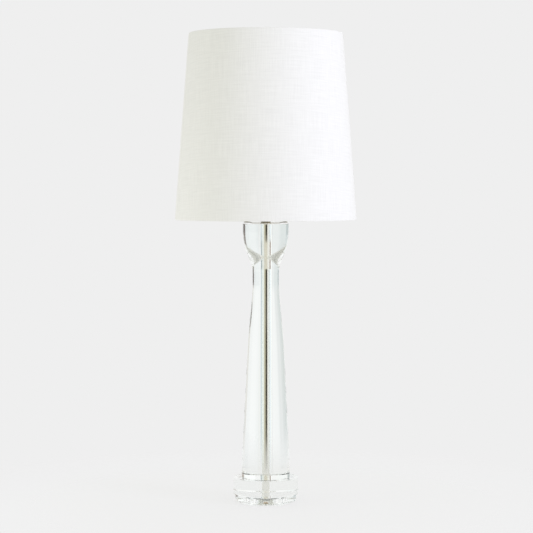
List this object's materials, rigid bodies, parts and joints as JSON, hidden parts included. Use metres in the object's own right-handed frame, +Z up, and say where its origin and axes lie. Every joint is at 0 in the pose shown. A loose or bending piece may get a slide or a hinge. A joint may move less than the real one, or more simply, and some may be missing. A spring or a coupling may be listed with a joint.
{
  "type": "candlestick table lamp",
  "caption": "Table lamp: turned clear crystal column with a cup-shaped head on a round disc and a six-sided foot, with a harp and a tapered white linen shade.",
  "frame": {"origin": "centre of the resting plane, under the foot's pads, on the column's axis", "axes": "+Z up along the column; -Y is the front, where the switch knob points; the harp's legs stand at -X and +X"},
  "size_m": [0.3047, 0.3048, 0.7891],
  "materials": {
    "crystal": "polished clear",
    "clear_pad": "clear soft plastic",
    "polished_nickel": "polished nickel plate",
    "zinc_steel": "zinc plated",
    "brass": "plain brass",
    "insulating_paper": "matt",
    "phenolic": "moulded",
    "switch_black": "moulded, semi-gloss",
    "switch_stem_metal": "nickel plate",
    "bulb_frosted": "frosted white",
    "bulb_cap_metal": "rolled",
    "linen": "plain woven, matt",
    "shade_backing": "satin sheet",
    "shade_wire": "white powder coat"
  },
  "bodies": {
    "stand": {"foot_pads": "clear_pad", "hex_foot": "crystal", "foot_gasket": "clear_pad", "base_disc": "crystal", "column_gasket": "clear_pad", "crystal_column": "crystal", "centre_tube": "polished_nickel", "threaded_rod": "zinc_steel", "base_washer": "zinc_steel", "lock_washer": "zinc_steel", "base_nut": "brass", "top_washer": "polished_nickel", "top_nut": "polished_nickel", "harp_saddle": "polished_nickel", "socket_cap": "polished_nickel", "socket_shell": "polished_nickel", "socket_liner": "insulating_paper", "socket_body": "phenolic", "screw_shell": "brass", "centre_contact": "brass", "terminal_screws": "brass"},
    "switch": {"switch_stem": "switch_stem_metal", "switch_knob": "switch_black"},
    "bulb": {"bulb_glass": "bulb_frosted", "bulb_cap": "bulb_cap_metal", "bulb_contact": "bulb_cap_metal"},
    "harp": {"harp": "polished_nickel"},
    "ferrule_left": {"ferrule_left": "polished_nickel"},
    "ferrule_right": {"ferrule_right": "polished_nickel"},
    "shade": {"shade_linen": "linen", "shade_liner": "shade_backing", "top_ring": "shade_wire", "bottom_ring": "shade_wire", "top_hem": "linen", "bottom_hem": "linen", "spider_hub": "shade_wire", "shade_spider": "shade_wire"},
    "finial": {"finial_neck": "polished_nickel", "finial_ball": "polished_nickel"}
  },
  "joints": [
    {"name": "switch_turn", "type": "hinge", "parent": "stand", "child": "switch", "pos_m": [0, -0.02, 0.4955], "axis": [0, -1, 0], "continuous": true},
    {"name": "bulb_screw", "type": "hinge", "parent": "stand", "child": "bulb", "pos_m": [0, 0, 0.53], "axis": [0, 0, 1], "continuous": true},
    {"name": "harp_lift", "type": "slide", "parent": "stand", "child": "harp", "axis": [0, 0, 1], "range_m": [0, 0.01]},
    {"name": "ferrule_left_slide", "type": "slide", "parent": "harp", "child": "ferrule_left", "axis": [0, 0, 1], "range_m": [0, 0.012]},
    {"name": "ferrule_right_slide", "type": "slide", "parent": "harp", "child": "ferrule_right", "axis": [0, 0, 1], "range_m": [0, 0.012]},
    {"name": "shade_turn", "type": "hinge", "parent": "harp", "child": "shade", "pos_m": [0, 0, 0.7618], "axis": [0, 0, 1], "continuous": true},
    {"name": "finial_turn", "type": "hinge", "parent": "harp", "child": "finial", "pos_m": [0, 0, 0.7626], "axis": [0, 0, 1], "continuous": true}
  ]
}
